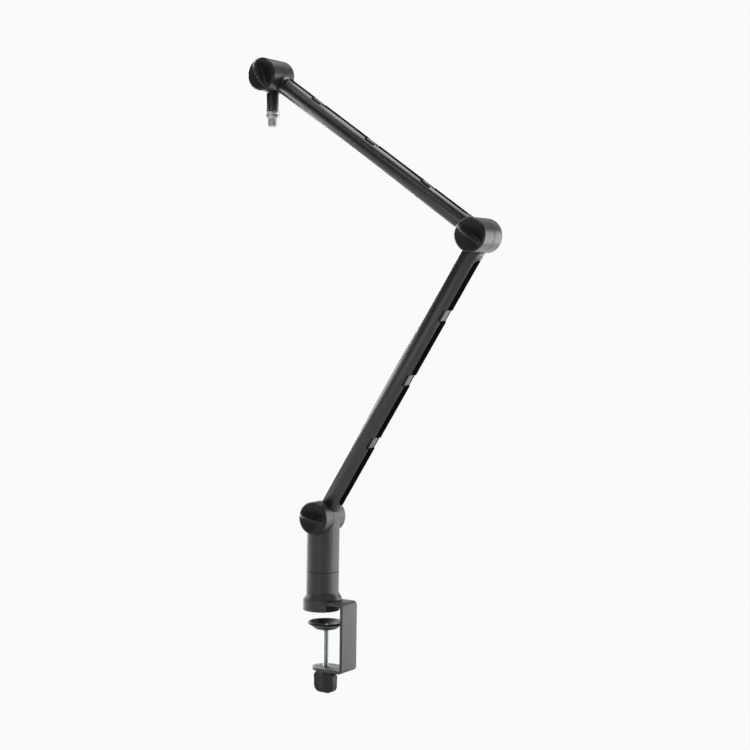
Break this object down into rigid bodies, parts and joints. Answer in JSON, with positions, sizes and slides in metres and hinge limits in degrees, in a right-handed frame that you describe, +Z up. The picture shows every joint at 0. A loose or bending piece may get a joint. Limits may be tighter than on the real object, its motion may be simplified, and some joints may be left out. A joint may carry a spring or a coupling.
{
  "type": "microphone boom arm",
  "caption": "Desk-clamp folding boom arm for a microphone: swivelling column, channelled tube arms, friction joints locked by dished knobs, and a threaded adapter.",
  "frame": {"origin": "centre of the desk pad's underside, on the column's swivel axis, where the clamp rests on the desk top", "axes": "+Z up along the column, +X towards the clamp's back plate and the elbow, -Y towards the side that the knobs are on"},
  "size_m": [0.3871, 0.0754, 0.8929],
  "materials": {
    "black_powder_coat": "fine matt black powder coat",
    "dark_grey_powder_coat": "fine matt powder coat",
    "black_plastic": "satin moulded",
    "grey_plastic": "matt moulded",
    "black_rubber": "matt",
    "zinc_plated_steel": "bright zinc",
    "chrome": "polished",
    "bright_steel": "turned",
    "brass": "turned",
    "friction_fibre": "matt pressed fibre",
    "natural_acetal": "satin"
  },
  "bodies": {
    "base": {"clamp_bracket": "dark_grey_powder_coat", "base_collar": "black_powder_coat", "desk_pad": "black_rubber", "swivel_spindle": "bright_steel", "spindle_nut": "bright_steel", "thrust_washer": "natural_acetal"},
    "column": {"column": "black_powder_coat", "swivel_bushing": "natural_acetal", "swivel_grub_screw": "bright_steel", "base_pivot_bolt": "bright_steel", "base_bushing": "natural_acetal", "base_friction_washer": "friction_fibre", "base_rear_cap": "black_plastic"},
    "lower_arm": {"lower_arm_tube": "black_powder_coat", "lower_arm_clip_1": "grey_plastic", "lower_arm_clip_2": "grey_plastic", "lower_arm_clip_3": "grey_plastic", "lower_arm_base_knuckle": "black_powder_coat", "lower_arm_elbow_knuckle": "black_powder_coat", "lower_arm_base_screw": "bright_steel", "lower_arm_elbow_screw": "bright_steel", "base_disc_spring": "bright_steel", "elbow_pivot_bolt": "bright_steel", "elbow_bushing": "natural_acetal", "elbow_friction_washer": "friction_fibre", "elbow_rear_cap": "black_plastic"},
    "upper_arm": {"upper_arm_tube": "black_powder_coat", "upper_arm_clip_1": "grey_plastic", "upper_arm_clip_2": "grey_plastic", "upper_arm_clip_3": "grey_plastic", "upper_arm_elbow_knuckle": "black_powder_coat", "upper_arm_head_knuckle": "black_powder_coat", "upper_arm_elbow_screw": "bright_steel", "upper_arm_head_screw": "bright_steel", "elbow_disc_spring": "bright_steel", "head_pivot_bolt": "bright_steel", "head_bushing": "natural_acetal", "head_friction_washer": "friction_fibre", "head_rear_cap": "black_plastic"},
    "head": {"head_knuckle": "black_powder_coat", "mic_stem": "black_powder_coat", "stem_stud": "bright_steel", "thread_adapter": "chrome", "head_disc_spring": "bright_steel"},
    "base_knob": {"base_knob": "black_plastic", "base_knob_insert": "brass"},
    "elbow_knob": {"elbow_knob": "black_plastic", "elbow_knob_insert": "brass"},
    "head_knob": {"head_knob": "black_plastic", "head_knob_insert": "brass"},
    "pressure_pad": {"pressure_pad": "black_plastic", "pad_retainer": "bright_steel"},
    "clamp_screw": {"clamp_screw": "zinc_plated_steel", "thumb_knob": "black_plastic"}
  },
  "joints": [
    {"name": "column_swivel", "type": "hinge", "parent": "base", "child": "column", "pos_m": [0, 0, 0.055], "axis": [0, 0, 1], "continuous": true},
    {"name": "base_hinge", "type": "hinge", "parent": "column", "child": "lower_arm", "pos_m": [0, 0, 0.132], "axis": [0, -1, 0], "range_deg": [-34, 62]},
    {"name": "elbow_hinge", "type": "hinge", "parent": "lower_arm", "child": "upper_arm", "pos_m": [0.24509, 0, 0.52422], "axis": [0, -1, 0], "range_deg": [-85, 18]},
    {"name": "head_hinge", "type": "hinge", "parent": "upper_arm", "child": "head", "pos_m": [-0.09605, 0, 0.75345], "axis": [0, -1, 0], "range_deg": [-120, 0]},
    {"name": "base_knob_turn", "type": "hinge", "parent": "lower_arm", "child": "base_knob", "pos_m": [0, 0, 0.132], "axis": [0, -1, 0], "range_deg": [-270, 0]},
    {"name": "elbow_knob_turn", "type": "hinge", "parent": "upper_arm", "child": "elbow_knob", "pos_m": [0.24509, 0, 0.52422], "axis": [0, -1, 0], "range_deg": [-270, 0]},
    {"name": "head_knob_turn", "type": "hinge", "parent": "head", "child": "head_knob", "pos_m": [-0.09605, 0, 0.75345], "axis": [0, -1, 0], "range_deg": [-270, 0]},
    {"name": "pad_slide", "type": "slide", "parent": "base", "child": "pressure_pad", "axis": [0, 0, 1], "range_m": [-0.0499, 0.0009]},
    {"name": "screw_turn", "type": "hinge", "parent": "pressure_pad", "child": "clamp_screw", "pos_m": [0.0068, 0, -0.06], "axis": [0, 0, 1], "range_deg": [-14400, 270]}
  ],
  "couplings": [
    {"joint": "screw_turn", "follows": "pad_slide", "rad_per_m": 5026.5}
  ]
}
